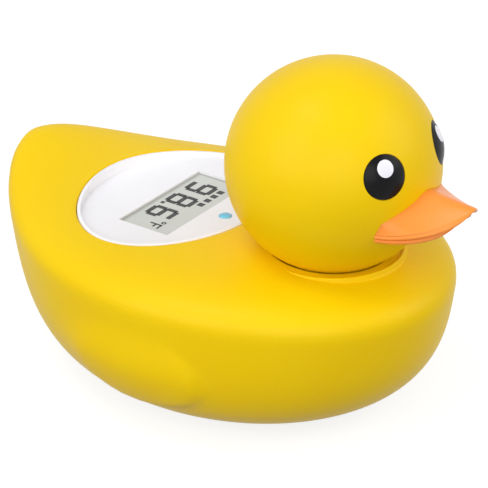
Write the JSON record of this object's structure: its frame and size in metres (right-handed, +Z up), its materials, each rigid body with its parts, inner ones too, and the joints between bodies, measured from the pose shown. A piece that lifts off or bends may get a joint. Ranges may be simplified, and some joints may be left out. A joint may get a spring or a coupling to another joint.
{
  "type": "bath thermometer",
  "caption": "Duck-shaped floating bath thermometer with a grey digital display in a white oval panel on its back, a blue indicator light and an orange beak.",
  "frame": {"origin": "centre of the footprint, on the ground under the middle of the overall length", "axes": "+Z up, +X toward the beak, +Y to the duck's left"},
  "size_m": [0.1176, 0.079, 0.0798],
  "materials": {
    "yellow_shell": "satin yellow moulding with a very fine grain",
    "orange_beak": "satin orange moulding",
    "eye_black": "gloss black",
    "eye_white": "plain white",
    "white_panel": "satin white moulding",
    "window_clear": "clear acrylic over the display",
    "lcd_glass": "grey-green liquid crystal display",
    "frame_grey": "plain grey moulding",
    "led_blue": "blue translucent lens",
    "seal_rubber": "matt black rubber",
    "board_green": "green solder mask on glass fibre",
    "epoxy_black": "black epoxy",
    "zebra_rubber": "layered contact rubber",
    "steel": "stainless steel",
    "screw_steel": "plated steel",
    "spring_steel": "plated spring steel",
    "cell_sleeve": "plain dark sleeve",
    "lead_red": "red insulation",
    "lead_black": "black insulation"
  },
  "bodies": {
    "root": {"base_cover": "yellow_shell", "base_screw_1": "screw_steel", "base_screw_2": "screw_steel", "base_screw_3": "screw_steel", "base_screw_4": "screw_steel", "base_seal": "seal_rubber", "battery_cell_1": "cell_sleeve", "battery_cell_2": "cell_sleeve", "battery_door": "yellow_shell", "battery_lead_negative": "lead_black", "battery_lead_positive": "lead_red", "battery_spring_1": "spring_steel", "battery_spring_2": "spring_steel", "beak": "orange_beak", "bezel_gasket": "seal_rubber", "body_shell": "yellow_shell", "contact_bridge": "spring_steel", "contact_negative": "spring_steel", "contact_positive": "spring_steel", "controller_blob": "epoxy_black", "display_bezel": "white_panel", "door_gasket": "seal_rubber", "door_screw": "screw_steel", "eye_highlight_left": "eye_white", "eye_highlight_right": "eye_white", "eye_left": "eye_black", "eye_right": "eye_black", "head_shell": "yellow_shell", "indicator_led": "led_blue", "lcd_frame": "frame_grey", "lcd_panel": "lcd_glass", "lcd_window": "window_clear", "led_lens": "led_blue", "main_pcb": "board_green", "neck_retainer": "frame_grey", "neck_screw_1": "screw_steel", "neck_screw_2": "screw_steel", "pcb_screw_1": "screw_steel", "pcb_screw_2": "screw_steel", "pcb_screw_3": "screw_steel", "pcb_screw_4": "screw_steel", "pin_lead_1": "lead_red", "pin_lead_2": "lead_red", "probe_cap": "steel", "probe_lead": "lead_black", "probe_seal": "seal_rubber", "thermistor": "epoxy_black", "water_pin_1": "steel", "water_pin_2": "steel", "zebra_strip_front": "zebra_rubber", "zebra_strip_rear": "zebra_rubber"}
  },
  "joints": []
}
